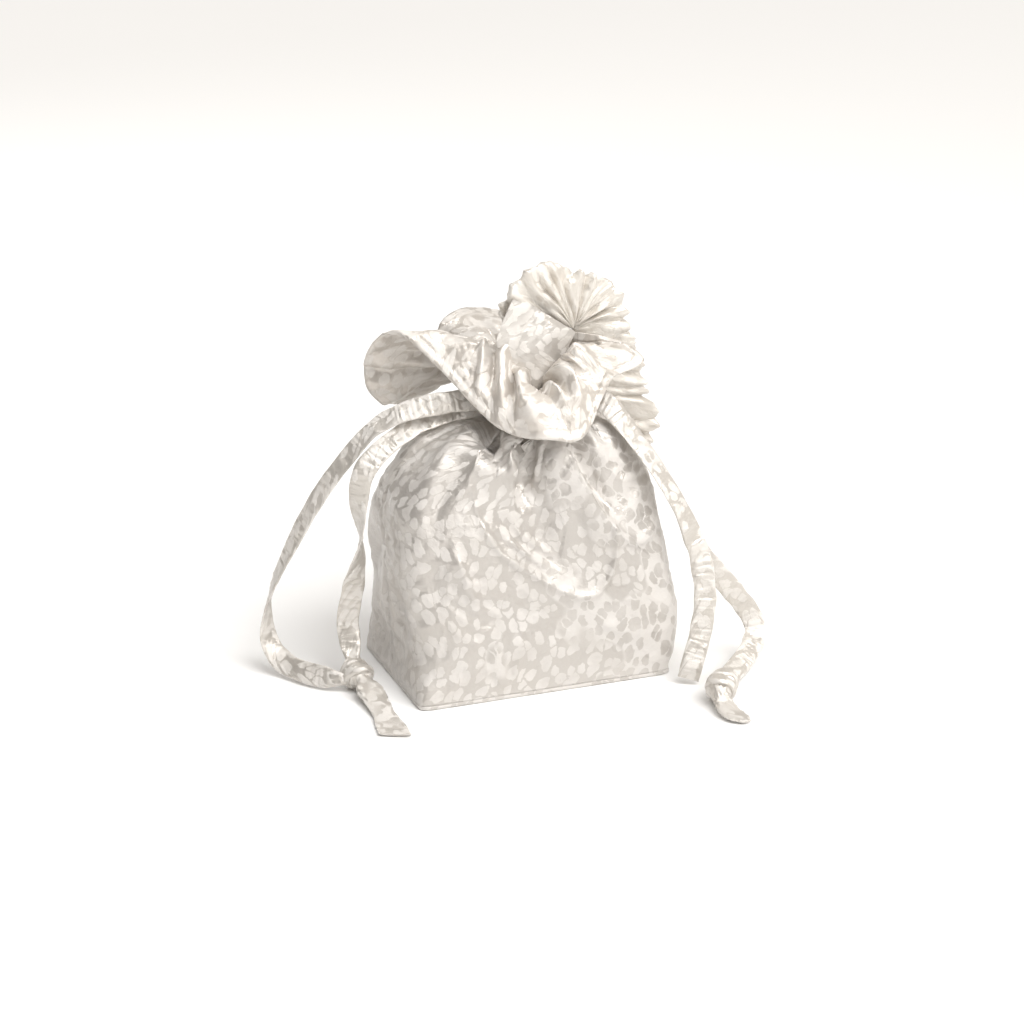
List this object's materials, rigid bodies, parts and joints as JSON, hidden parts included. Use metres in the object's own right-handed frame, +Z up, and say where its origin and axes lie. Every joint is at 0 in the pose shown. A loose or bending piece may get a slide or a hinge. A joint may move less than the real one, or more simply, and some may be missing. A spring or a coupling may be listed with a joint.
{
  "type": "drawstring handbag",
  "caption": "Small soft pouch handbag with a flat rectangular base, a gathered drawstring neck, a wide frill and a ruched carrying strap.",
  "frame": {"origin": "middle of the flat base, on the surface the bag stands on", "axes": "+Z up from the base to the strap, +X to the right of the front face, -Y out of the front face"},
  "size_m": [0.3869, 0.2727, 0.3267],
  "materials": {
    "base_silk": "satin jacquard",
    "body_silk": "satin jacquard",
    "ruched_silk": "satin jacquard, ruched",
    "ribbon_silk": "satin jacquard"
  },
  "bodies": {
    "root": {"base_panel": "base_silk", "pouch_body": "body_silk", "drawstring_casing": "body_silk", "frill_collar": "body_silk", "handle_tab": "body_silk", "handle_ruched": "ruched_silk", "strand_left_outer": "ribbon_silk", "strand_left_inner": "ribbon_silk", "strand_right_short": "ribbon_silk", "strand_right_long": "ribbon_silk", "knot_left": "ribbon_silk", "knot_right": "ribbon_silk"}
  },
  "joints": []
}
